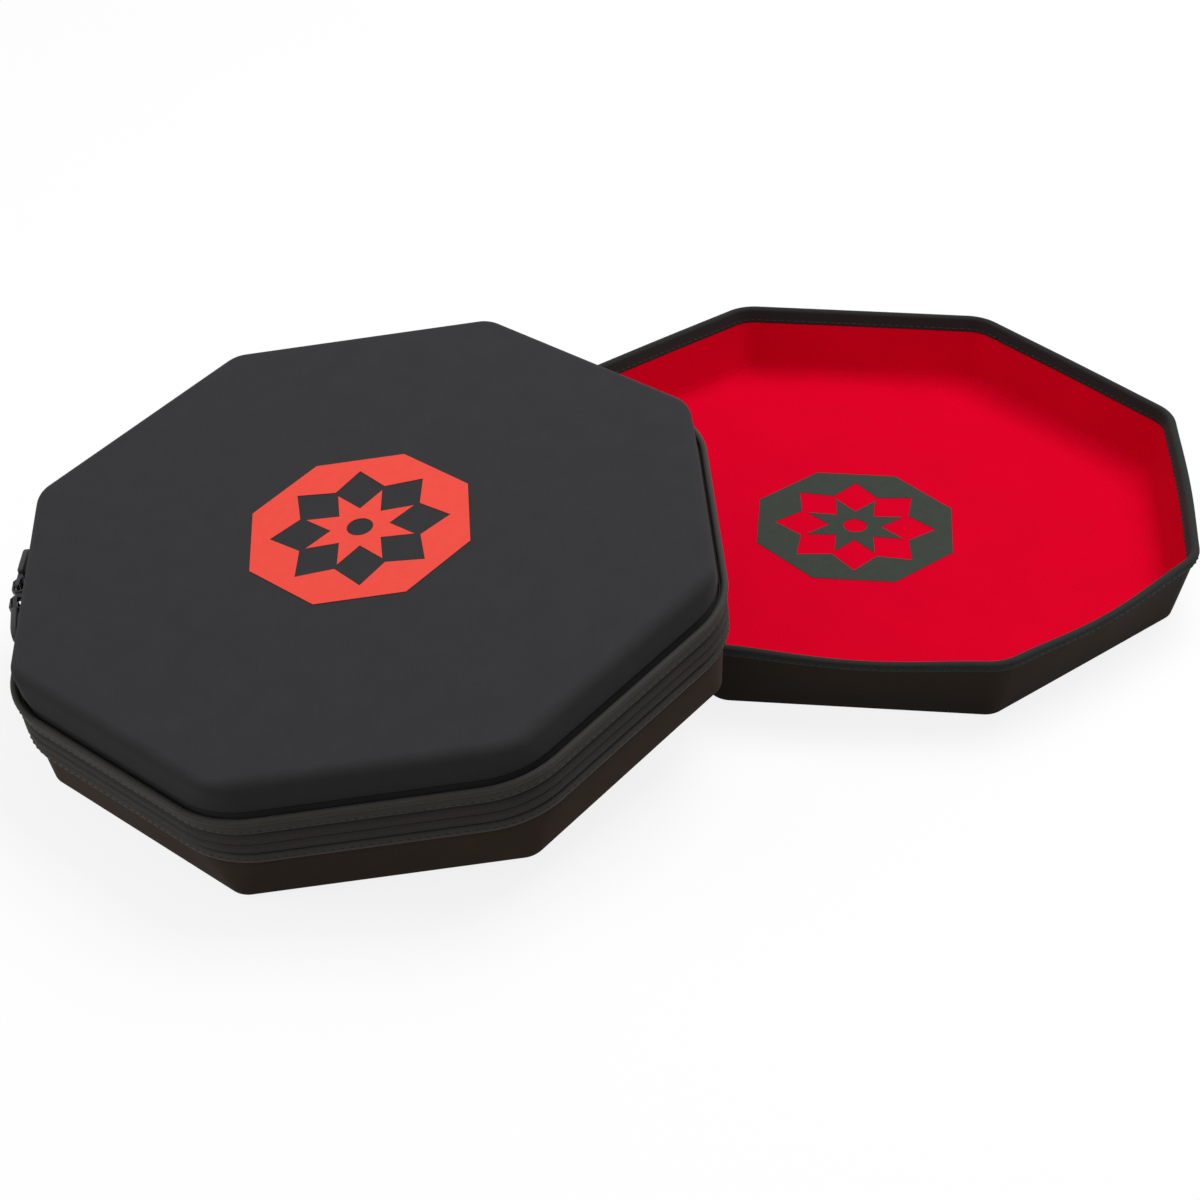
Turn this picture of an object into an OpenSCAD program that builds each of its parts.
// Octagonal rolling tray with its zip-up hard case.
// The tray lies flat, centred on the origin. The closed case leans on the tray's rim:
// one lower corner stands on the table and the underside rests along one side of the rim.
// Each form is a profile of [apothem, height] points carried round a rounded octagon.

/* [Tray] */
// Tray size across flats, outside the rim
tray_across = 270; // [230:1:320]
// Tray size across flats at the table
tray_base_across = 252; // [210:0.2:300]
// Height of the tray's rim above the table
tray_height = 34; // [26:0.5:60]
// Corner radius at the rim
tray_rim_corner = 12; // [8:0.5:30]
// Corner radius at the table
tray_base_corner = 6; // [5:0.5:25]
// Thickness of the tray's shell in the wall
tray_wall = 1.8; // [1.2:0.1:4]
// Thickness of the tray's shell in the floor
tray_floor = 1.8; // [1.2:0.1:5]
// Radius where the outside wall meets the table
tray_heel = 1.8; // [1:0.1:4]
// Radius where the lined wall meets the floor
tray_cove = 5; // [3:0.5:12]
// Thickness of the binding folded over the rim
binding_thickness = 0.8; // [0.4:0.1:1.5]
// How far the rim binding reaches down inside
binding_inside = 6.8; // [4:0.2:12]
// How far the rim binding reaches down outside
binding_outside = 4.6; // [3:0.2:10]
// Thickness of the velvet lining
lining_thickness = 0.8; // [0.5:0.1:2]

/* [Case] */
// Case size across flats at its underside
case_base_across = 250; // [210:0.2:300]
// Case shell size across flats at the zip seam
case_seam_across = 257.2; // [215:0.2:310]
// Height of the closed case
case_height = 58; // [54:0.5:90]
// Height of the zip line
zip_height = 30.6; // [24:0.2:36]
// Thickness of the moulded shells
case_wall = 4; // [2.5:0.1:5]
// Corner radius of the underside
case_base_corner = 8; // [6.5:0.5:20]
// Corner radius of the case at the zip seam
case_seam_corner = 36; // [26:0.5:44]
// Corner radius of the lid at its top
case_top_corner = 14; // [10:0.5:36]
// Radius where the case's wall meets its underside
case_heel = 2.4; // [1.5:0.1:5]
// Radius of the lid's shoulder
shoulder_radius = 8; // [6:0.5:15]
// Inward lean of the lid's wall, degrees
lid_draft = 3; // [0:0.5:8]

/* [Zip seam] */
// Height of the tape strip between the two pipings
gusset_height = 10.8; // [9.6:0.2:16]
// Height of the lid's piping
lid_piping_height = 6.8; // [4:0.2:9]
// How far the lid's piping stands out from the tape's hem
lid_piping_depth = 2.6; // [1.5:0.1:4]
// Height of the base's piping
base_piping_height = 4; // [3:0.2:8]
// How far the base's piping stands out from the tape's hem
base_piping_depth = 1.2; // [0.8:0.1:4]
// Thickness of the zip tape
tape_thickness = 0.8; // [0.4:0.1:1.2]
// How far the tape bulges out between the pipings
tape_bulge = 1.6; // [0.8:0.1:2.2]
// Height over which the spine cloth comes out to the hinge line
spine_rise = 1.8; // [1:0.1:3]
// Gap between the two tapes at the zip line
zip_gap = 0.5; // [0.3:0.1:1]
// Height of each half of the zip's coil
coil_height = 1.5; // [1:0.1:2.2]
// Depth of the coil behind the tape
coil_depth = 1.8; // [1:0.1:2.5]
// Thickness of the binding inside the seam
seam_binding = 0.9; // [0.4:0.1:1.5]
// Length of the metal stops at the coil's ends
stop_length = 4; // [2:0.5:4.5]

/* [Zip sliders] */
// Distance from the middle of their side to where the two sliders meet
slider_place = 22; // [0:1:24]
// Gap between the two sliders where they meet
slider_gap = 0.8; // [0.4:0.1:3]
// Length of a slider along the zip
slider_length = 14; // [12:0.5:18]
// Width of a slider across the zip
slider_width = 8.6; // [6:0.2:9.2]
// Width of a slider behind its broad nose
slider_waist = 6.4; // [4:0.2:8]
// Length of the broad nose
slider_nose = 6; // [4:0.5:8]
// Cut corners of the face plate
slider_chamfer = 1.6; // [0.6:0.1:2]
// Thickness of a slider's face plate
slider_plate = 1.4; // [1:0.1:2]
// Room between the face plate and the tape
slider_room = 0.9; // [0.6:0.05:1.6]
// Length of the bridge that holds the pull
bridge_length = 8; // [6:0.5:10]
// Width of the bridge
bridge_width = 2.4; // [1.6:0.1:3]
// Thickness of the bridge's metal
bridge_metal = 1.2; // [0.8:0.1:1.6]
// Cut corners of the bridge
bridge_chamfer = 1.4; // [0.6:0.1:2]
// Radius of the pull's pin
pin_radius = 0.8; // [0.5:0.05:1]
// Height of the pin's axis above the face plate
pin_rise = 5.6; // [4:0.1:7]
// Thickness of the link's wire
link_wire = 1.2; // [0.8:0.1:1.6]
// Length of the grip
grip_length = 15; // [10:0.5:17]
// Width of the grip
grip_width = 7.6; // [6:0.2:9]
// Thickness of the grip
grip_thickness = 2.6; // [1.6:0.1:3]
// Lean of a pull towards the side at rest, degrees
pull_lean = 5; // [0:0.5:7]

/* [Emblems] */
// Size of each printed emblem across flats
emblem_across = 82; // [60:1:120]
// Width of the print left outside the rays of the cut-out star
emblem_frame = 7; // [4:0.5:10]
// Depth of the notches between the rays of the cut-out star
cut_notch = 9.5; // [4:0.5:12]
// Reach of the small star's rays from its centre
emblem_star = 22; // [14:0.5:26]
// Depth of the notches between the small star's rays
star_notch = 11; // [4:0.5:13]
// Radius of the round eye in the middle
emblem_eye = 5; // [3:0.5:7]
// Thickness of the print
print_thickness = 0.4; // [0.2:0.1:1]

/* [Leaning] */
// How far the case reaches in over the rim it leans on
rim_overlap = 48.7; // [40:0.5:90]
// Sideways shift of the case along that rim
case_shift = 36.7; // [0:0.1:45]
// Turn of the case about its own upright axis, degrees
case_yaw = 8.7; // [2:0.1:14]
// Room between the case's underside and the rim
rest_gap = 0.3; // [0.2:0.05:1]

/* [Hidden] */

// Colours of the cloth, print and metal
BLACK = "#2a2a2c";
DARK = "#1d1d1f";
TRIM = "#38383b";
RED = "#d8001f";
ORANGE = "#f84a30";
GREY = "#3c443c";
METAL = "#2f2f33";

// Room between two pieces that are sewn or glued together
skin_gap = 0.1;
// Room between pieces that follow one another along a seam
end_gap = 0.3;
// Half the turn from one side of an octagon to the next
half_turn = 22.5;
// Steps in each rounded corner of the octagon, and in each rounded profile
corner_steps = 4;
arc_steps = 5;
heel_steps = 3;
// Smallest corner radius that an inner face keeps
least_corner = 1;

// Sides of the case, counted round from its own +X axis
spine_side = 3;
slider_side = 4;

// Octagon points at one level: apothem v[0], corner radius v[1], height v[2]
function corner_arc(v, k) = [
    for (j = [0 : corner_steps])
        let (
            middle = (v[0] - v[1]) / cos(half_turn),
            a = 45 * k + 45 * j / corner_steps
        )
        [
            middle * cos(45 * k + half_turn) + v[1] * cos(a),
            middle * sin(45 * k + half_turn) + v[1] * sin(a),
            v[2]
        ]
];
function ring(v) = [for (k = [0 : 7]) each corner_arc(v, k)];

// Octagon points of the corners first to last, for a strip that is open at both ends
function arc_run(v, first, last) = [for (k = [first : last]) each corner_arc(v, k)];

// The two ends of a straight side, drawn in by a margin
function side_run(v, k, margin) =
    let (half = (v[0] - v[1]) * tan(half_turn) - margin)
    [
        for (s = [-half, half])
            [v[0] * cos(45 * k) - s * sin(45 * k), v[0] * sin(45 * k) + s * cos(45 * k), v[2]]
    ];

// Skin over rows of points. The rows are a profile's points and each row follows the octagon.
// A profile that isn't closed ends in two flat faces. A path that isn't closed ends in a row of quads
// between the two sides of its profile, so its profile has an even number of points.
module loft(rows, closed_profile, closed_path) {
    count = len(rows);
    width = len(rows[0]);
    last_row = closed_profile ? count - 1 : count - 2;
    last_col = closed_path ? width - 1 : width - 2;
    walls = [
        for (i = [0 : last_row], j = [0 : last_col])
            let (up = (i + 1) % count, next = (j + 1) % width)
            [i * width + j, up * width + j, up * width + next, i * width + next]
    ];
    profile_caps = closed_profile ? [] : [
        [for (j = [0 : width - 1]) j],
        [for (j = [width - 1 : -1 : 0]) (count - 1) * width + j]
    ];
    path_caps = closed_path ? [] : [
        for (i = [0 : count / 2 - 2], end = [0, width - 1])
            let (cap = [for (r = [i, i + 1, count - 2 - i, count - 1 - i]) r * width + end])
            end == 0 ? backwards(cap) : cap
    ];
    polyhedron([for (row = rows) each row], concat(walls, profile_caps, path_caps), convexity = 6);
}

// Rounded inside or outside corner between a level floor and a wall that leans out by draft
function heel_inset(draft, radius) = radius * (1 - sin(draft)) / cos(draft);
function heel(apothem, floor_z, draft, radius) =
    let (middle = apothem - heel_inset(draft, radius))
    [
        for (i = [0 : heel_steps])
            let (t = -90 + (90 - draft) * i / heel_steps)
            [middle + radius * cos(t), floor_z + radius + radius * sin(t)]
    ];

function backwards(list) = [for (i = [len(list) - 1 : -1 : 0]) list[i]];

// The tray's outside wall, and its corner radius, at a height
tray_rim = tray_across / 2;
tray_base = tray_base_across / 2;
shell_rim = tray_rim - binding_thickness - skin_gap;
tray_draft = atan((shell_rim - tray_base) / tray_height);
function tray_face(z) = tray_base + (shell_rim - tray_base) * z / tray_height;
function tray_corner(z) = tray_base_corner + (tray_rim_corner - tray_base_corner) * z / tray_height;
function tray_level(p) = [p[0], max(least_corner, tray_corner(p[1]) + p[0] - tray_face(p[1])), p[1]];

tray_edge = tray_height - binding_thickness - skin_gap;
tray_inside = tray_wall + skin_gap;
tray_lining_floor = tray_floor + skin_gap + lining_thickness;
binding_top = tray_height - binding_inside;

// Heights of the case's seam, from the zip line down on the base and up on the lid
piping_top = zip_height - gusset_height / 2;
wall_top = piping_top - base_piping_height - end_gap;
tape_edge = zip_height - zip_gap / 2;
shell_edge = piping_top + tape_thickness / 2;
seam_top = zip_height + gusset_height / 2 + lid_piping_height + end_gap;

// The case's outside wall, and its corner radius, at a height
case_base = case_base_across / 2;
case_seam = case_seam_across / 2;
case_draft = atan((case_seam - case_base) / wall_top);
function case_face(z) = case_base + (case_seam - case_base) * min(z / wall_top, 1);
function case_corner(z) =
    z < seam_top
        ? case_base_corner + (case_seam_corner - case_base_corner) * min(z / wall_top, 1)
        : case_seam_corner
            + (case_top_corner - case_seam_corner) * (z - seam_top) / (case_height - seam_top);
function case_level(p) = [p[0], max(least_corner, case_corner(p[1]) + p[0] - case_face(p[1])), p[1]];

// A seam profile is drawn below the zip line and turned over it for the lid
function lid_side(profile) = backwards([for (p = profile) [p[0], 2 * zip_height - p[1]]]);

// Faces of the seam, outwards from the shell
hem_inside = case_seam + skin_gap;
hem_outside = hem_inside + tape_thickness;
piping_inside = hem_outside + skin_gap;
piping_outside = piping_inside + max(lid_piping_depth, base_piping_depth);
tape_outside = hem_outside + tape_bulge;
shell_inside = case_seam - case_wall;

// The spine stands out to the hinge line, clear of the pipings
hinge_room = 0.4;
hinge_apothem = piping_outside + hinge_room;
spine_bulge = hinge_apothem - hem_outside;

// Height of the case's inside floor, and the radius round it
case_floor = case_wall;
case_cove = case_heel + lining_thickness;

// Support of the rounded underside along a direction in the case's own plan
function case_reach(direction) =
    (case_base - case_base_corner) / cos(half_turn) * cos(direction - half_turn) + case_base_corner;

// Leaning: the rim's side that carries the case faces 225 degrees, so uphill is 45 degrees
uphill = 45;
case_foot = case_reach(case_yaw);
rim_bead = tray_wall / 2 + skin_gap + binding_thickness;
rim_line = tray_rim - rim_bead;
rim_bead_z = tray_height - rim_bead;
case_along = -rim_line + rim_overlap - case_foot;
heel_along = case_along - (case_foot - heel_inset(case_draft, case_heel));
lean_run = -rim_line - heel_along;
lean_rise = rim_bead_z - case_heel;
lean = atan2(lean_rise, lean_run)
    + asin((case_heel + rim_bead + rest_gap) / norm([lean_run, lean_rise]));

// Places the case's own frame, with its underside's centre at the origin, against the rim
module leaning() {
    rotate([0, 0, uphill])
    translate([heel_along, case_shift, case_heel])
    rotate([0, -lean, 0])
    translate([case_along - heel_along, 0, -case_heel])
    rotate([0, 0, case_yaw - uphill])
    children();
}

// Places a frame on one side of the case: +X out of the side, +Y along it
module on_side(k) {
    leaning() rotate([0, 0, 45 * k]) children();
}

// Star of eight rays: reach of the rays, and of the notches between them
module star(reach, notch) {
    polygon([
        for (i = [0 : 15])
            let (r = i % 2 == 0 ? reach : notch)
            [r * cos(i * half_turn), r * sin(i * half_turn)]
    ]);
}

// Emblem: an octagon with a star cut out of it and a small star inside the cut
module emblem_outline() {
    apothem = emblem_across / 2;
    cut = apothem - emblem_frame;
    difference() {
        rotate(half_turn) circle(r = apothem / cos(half_turn), $fn = 8);
        star(cut, cut - cut_notch);
    }
    difference() {
        rotate(half_turn) star(emblem_star, emblem_star - star_notch);
        circle(r = emblem_eye, $fn = 48);
    }
}

// Tray

module tray_shell() {
    inside = heel(tray_face(tray_floor) - tray_wall, tray_floor, tray_draft, tray_cove + lining_thickness);
    profile = concat(
        heel(tray_base, 0, tray_draft, tray_heel),
        [[tray_face(tray_edge), tray_edge], [tray_face(tray_edge) - tray_wall, tray_edge]],
        backwards(inside)
    );
    color(BLACK) loft([for (p = profile) ring(tray_level(p))], false, true);
}

module tray_lining() {
    top = binding_top - skin_gap;
    under = tray_floor + skin_gap;
    outer = heel(tray_face(under) - tray_inside, under, tray_draft, tray_cove + lining_thickness);
    inner = heel(
        tray_face(tray_lining_floor) - tray_inside - lining_thickness,
        tray_lining_floor, tray_draft, tray_cove
    );
    profile = concat(
        outer,
        [[tray_face(top) - tray_inside, top], [tray_face(top) - tray_inside - lining_thickness, top]],
        backwards(inner)
    );
    color(RED) loft([for (p = profile) ring(tray_level(p))], false, true);
}

module tray_rim_binding() {
    foot = tray_height - binding_outside;
    round_z = tray_height - rim_bead;
    middle = tray_face(round_z) - tray_wall / 2;
    profile = concat(
        [
            [tray_face(foot) + skin_gap, foot],
            [tray_face(foot) + skin_gap + binding_thickness, foot]
        ],
        [
            for (i = [0 : arc_steps])
                let (t = 180 * i / arc_steps)
                [middle + rim_bead * cos(t), round_z + rim_bead * sin(t)]
        ],
        [
            [tray_face(binding_top) - tray_inside - binding_thickness, binding_top],
            [tray_face(binding_top) - tray_inside, binding_top],
            [tray_face(tray_edge) - tray_inside, tray_edge + skin_gap],
            [tray_face(tray_edge) + skin_gap, tray_edge + skin_gap]
        ]
    );
    color(TRIM) loft([for (p = profile) ring(tray_level(p))], true, true);
}

module tray_emblem() {
    color(GREY)
    translate([0, 0, tray_lining_floor + skin_gap / 2])
    linear_extrude(print_thickness)
    emblem_outline();
}

// Lower half of the case

module base_shell() {
    inside = heel(case_face(case_floor) - case_wall, case_floor, case_draft, case_cove);
    profile = concat(
        heel(case_base, 0, case_draft, case_heel),
        [
            [case_seam, wall_top],
            [case_seam, shell_edge],
            [shell_inside, shell_edge],
            [shell_inside, wall_top]
        ],
        backwards(inside)
    );
    color(BLACK) leaning() loft([for (p = profile) ring(case_level(p))], false, true);
}

module base_lining() {
    under = case_floor + skin_gap;
    over = under + lining_thickness;
    top = wall_top - skin_gap;
    offset_in = case_wall + skin_gap;
    profile = concat(
        heel(case_face(under) - offset_in, under, case_draft, case_cove),
        [
            [case_face(top) - offset_in, top],
            [case_face(top) - offset_in - lining_thickness, top]
        ],
        backwards(heel(case_face(over) - offset_in - lining_thickness, over, case_draft, case_heel))
    );
    color(RED) leaning() loft([for (p = profile) ring(case_level(p))], false, true);
}

// Binding over the raw edge of a shell, seen only when the case is open
function seam_binding_profile(foot) =
    let (
        face = shell_inside - skin_gap,
        over = shell_edge + skin_gap
    )
    [
        [face - seam_binding, foot],
        [face, foot],
        [face, over],
        [case_seam, over],
        [case_seam, over + seam_binding],
        [face - seam_binding, over + seam_binding]
    ];

// Half-round piping sewn over the tape's hem
function piping_profile(height, depth) = concat(
    [[piping_inside, piping_top - height]],
    [
        for (i = [1 : arc_steps])
            let (t = -90 + 180 * i / (arc_steps + 1))
            [piping_inside + depth * cos(t), piping_top - height / 2 + height / 2 * sin(t)]
    ],
    [[piping_inside, piping_top]]
);

// Tape from its hem under the piping, out over a bulge and up to the zip line
function tape_profile(piping, bulge, rise, edge) = [
    [hem_outside, piping_top - piping + end_gap],
    [hem_outside, piping_top],
    [hem_outside + bulge, piping_top + rise],
    [hem_outside + bulge, edge],
    [hem_inside + bulge, edge],
    [hem_inside + bulge, piping_top + rise + tape_thickness / 2],
    [hem_inside, piping_top + tape_thickness / 2],
    [hem_inside, piping_top - piping + end_gap]
];
function zip_profile(piping) = tape_profile(piping, tape_bulge, tape_bulge, tape_edge);
function spine_profile(piping) =
    tape_profile(piping, spine_bulge, spine_rise, zip_height - skin_gap);

// One half of the coil, behind the tape's edge
coil_outside = hem_inside + tape_bulge - skin_gap;
coil_profile = [
    [coil_outside - coil_depth, tape_edge - coil_height],
    [coil_outside, tape_edge - coil_height],
    [coil_outside, tape_edge],
    [coil_outside - coil_depth, tape_edge]
];

// The whole seam goes round the case, the tape stops at the spine and the coil before it
module seam_ring(profile) {
    leaning() loft([for (p = profile) ring(case_level(p))], true, true);
}
module tape_run(profile) {
    leaning() loft([for (p = profile) arc_run(case_level(p), spine_side, spine_side + 7)], true, false);
}
module spine_run(profile) {
    leaning() loft([for (p = profile) side_run(case_level(p), spine_side, end_gap)], true, false);
}

// The coil's ends stop short of the tape's ends by one rounded corner
function coil_path(v) =
    let (run = arc_run(v, spine_side, spine_side + 7))
    [for (i = [corner_steps : len(run) - 1 - corner_steps]) run[i]];
module coil_run(profile) {
    leaning() loft([for (p = profile) coil_path(case_level(p))], true, false);
}

// Crimped stops just past both ends of a coil half, on the first flat of the rounded corners
function stop_run(v, k) =
    let (
        arc = corner_arc(v, k),
        start = k == spine_side ? arc[corner_steps] : arc[0],
        next = k == spine_side ? arc[corner_steps - 1] : arc[1],
        along = (next - start) / norm(next - start),
        near = start + along * end_gap,
        far = near + along * stop_length
    )
    k == spine_side ? [far, near] : [near, far];
module stops(profile) {
    for (k = [spine_side - 1, spine_side])
        leaning() loft([for (p = profile) stop_run(case_level(p), k)], true, false);
}

module base_seam_binding() { color(DARK) seam_ring(seam_binding_profile(wall_top)); }
module base_piping() { color(TRIM) seam_ring(piping_profile(base_piping_height, base_piping_depth)); }
module base_zip_tape() { color(DARK) tape_run(zip_profile(base_piping_height)); }
module base_zip_coil() { color(METAL) coil_run(coil_profile); }
module base_zip_stops() { color(METAL) stops(coil_profile); }
module base_spine() { color(DARK) spine_run(spine_profile(base_piping_height)); }

// Upper half of the case

// Lid's outside from the seam up over the shoulder, drawn in by a depth
function lid_outline(depth, foot_z) =
    let (
        foot = case_seam - depth,
        middle_z = case_height - shoulder_radius,
        radius = shoulder_radius - depth,
        middle = foot - (middle_z - seam_top) * tan(lid_draft) - radius
            + radius * (1 - cos(lid_draft))
    )
    concat(
        [[foot, foot_z], [foot, seam_top + end_gap]],
        [
            for (i = [0 : arc_steps])
                let (t = lid_draft + (90 - lid_draft) * i / arc_steps)
                [middle + radius * cos(t), middle_z + radius * sin(t)]
        ]
    );

module lid_shell() {
    edge = 2 * zip_height - shell_edge;
    profile = concat(backwards(lid_outline(case_wall, edge)), lid_outline(0, edge));
    color(BLACK) leaning() loft([for (p = profile) ring(case_level(p))], false, true);
}

module lid_lining() {
    outer = case_wall + skin_gap;
    foot = seam_top + skin_gap;
    profile = concat(
        backwards(lid_outline(outer + lining_thickness, foot)),
        lid_outline(outer, foot)
    );
    color(RED) leaning() loft([for (p = profile) ring(case_level(p))], false, true);
}

lid_foot = 2 * zip_height - seam_top;
module lid_seam_binding() { color(DARK) seam_ring(lid_side(seam_binding_profile(lid_foot))); }
module lid_piping() {
    color(TRIM) seam_ring(lid_side(piping_profile(lid_piping_height, lid_piping_depth)));
}
module lid_zip_tape() { color(DARK) tape_run(lid_side(zip_profile(lid_piping_height))); }
module lid_zip_coil() { color(METAL) coil_run(lid_side(coil_profile)); }
module lid_zip_stops() { color(METAL) stops(lid_side(coil_profile)); }
module lid_spine() { color(DARK) spine_run(lid_side(spine_profile(lid_piping_height))); }

// The emblem's upper edge faces the spine
module lid_emblem() {
    color(ORANGE)
    leaning()
    rotate([0, 0, 45 * spine_side - 90])
    translate([0, 0, case_height + skin_gap / 2])
    linear_extrude(print_thickness)
    emblem_outline();
}

// Zip sliders. The front one moves away from the spine and the rear one towards it.

front = 1;
rear = -1;
plate_inside = tape_outside + slider_room;
plate_outside = plate_inside + slider_plate;
pin_apothem = plate_outside + pin_rise;
pin_room = 0.5;
bridge_top = pin_rise + pin_radius + pin_room + bridge_metal;
bridge_start = 0.8;
pin_place = bridge_start + bridge_metal + pin_radius + pin_room;

// The link reaches round the bridge's far foot, with room to swing past it
link_room = 0.6;
link_reach = bridge_start + bridge_length - pin_place + link_room;
link_length = link_reach + link_wire;

// Frame on a slider: +X out of the side, +Y along the zip from where the sliders meet
module on_slider(way, apothem) {
    on_side(slider_side)
    translate([apothem, -slider_place, zip_height])
    mirror([0, way == rear ? 1 : 0, 0])
    translate([0, slider_gap / 2, 0])
    children();
}

module slider_body(way) {
    w = slider_width / 2;
    waist = slider_waist / 2;
    cut = slider_chamfer;
    half = [
        [0, w - cut], [cut, w], [slider_nose, w], [slider_nose + 2 * (w - waist), waist],
        [slider_length - cut, waist], [slider_length, waist - cut]
    ];
    color(METAL) {
        // Face plate, broad at the nose and waisted behind it
        on_slider(way, plate_inside)
        rotate([90, 0, 90])
        linear_extrude(slider_plate)
        polygon(concat(backwards(half), [for (p = half) [p[0], -p[1]]]));
        // Lower flange that rides on the base's tape
        on_slider(way, tape_outside + end_gap)
        translate([0, cut, -w])
        cube([plate_inside - tape_outside - end_gap, slider_nose - cut, slider_plate]);
    }
}

module slider_bridge(way) {
    foot = skin_gap / 2;
    top = bridge_top;
    cut = bridge_chamfer;
    color(METAL)
    on_slider(way, plate_outside)
    translate([0, bridge_start, -bridge_width / 2])
    linear_extrude(bridge_width)
    difference() {
        polygon([
            [foot, 0], [top - cut, 0], [top, cut],
            [top, bridge_length - cut], [top - cut, bridge_length], [foot, bridge_length]
        ]);
        translate([0, bridge_metal])
        square([top - bridge_metal, bridge_length - 2 * bridge_metal]);
    }
}

// Frame on a pull: +Y along the pull, turned in towards the side
module on_pull(way) {
    on_slider(way, pin_apothem) translate([0, pin_place, 0]) rotate([0, 0, pull_lean]) children();
}

module pull_link(way) {
    inner = bridge_width / 2 + end_gap;
    outer = inner + link_wire;
    color(METAL)
    on_pull(way)
    union() {
        translate([0, 0, -outer])
        cylinder(r = pin_radius, h = 2 * outer, $fn = 32);
        for (z = [-outer, inner])
            translate([-pin_radius, 0, z])
            cube([2 * pin_radius, link_length, link_wire]);
        translate([-pin_radius, link_reach, -outer])
        cube([2 * pin_radius, link_wire, 2 * outer]);
    }
}

module pull_grip(way) {
    r = grip_width / 2;
    color(DARK)
    on_pull(way)
    translate([-grip_thickness / 2, link_length + skin_gap, 0])
    rotate([90, 0, 90])
    linear_extrude(grip_thickness)
    union() {
        translate([0, -r]) square([grip_length - r, grip_width]);
        translate([grip_length - r, 0]) circle(r = r, $fn = 48);
    }
}

tray_shell();
tray_lining();
tray_rim_binding();
tray_emblem();
base_shell();
base_lining();
base_seam_binding();
base_piping();
base_zip_tape();
base_zip_coil();
base_zip_stops();
base_spine();
lid_shell();
lid_lining();
lid_seam_binding();
lid_piping();
lid_zip_tape();
lid_zip_coil();
lid_zip_stops();
lid_spine();
lid_emblem();
slider_body(front);  // front_slider_body
slider_bridge(front);  // front_slider_bridge
pull_link(front);  // front_pull_link
pull_grip(front);  // front_pull_grip
slider_body(rear);  // rear_slider_body
slider_bridge(rear);  // rear_slider_bridge
pull_link(rear);  // rear_pull_link
pull_grip(rear);  // rear_pull_grip
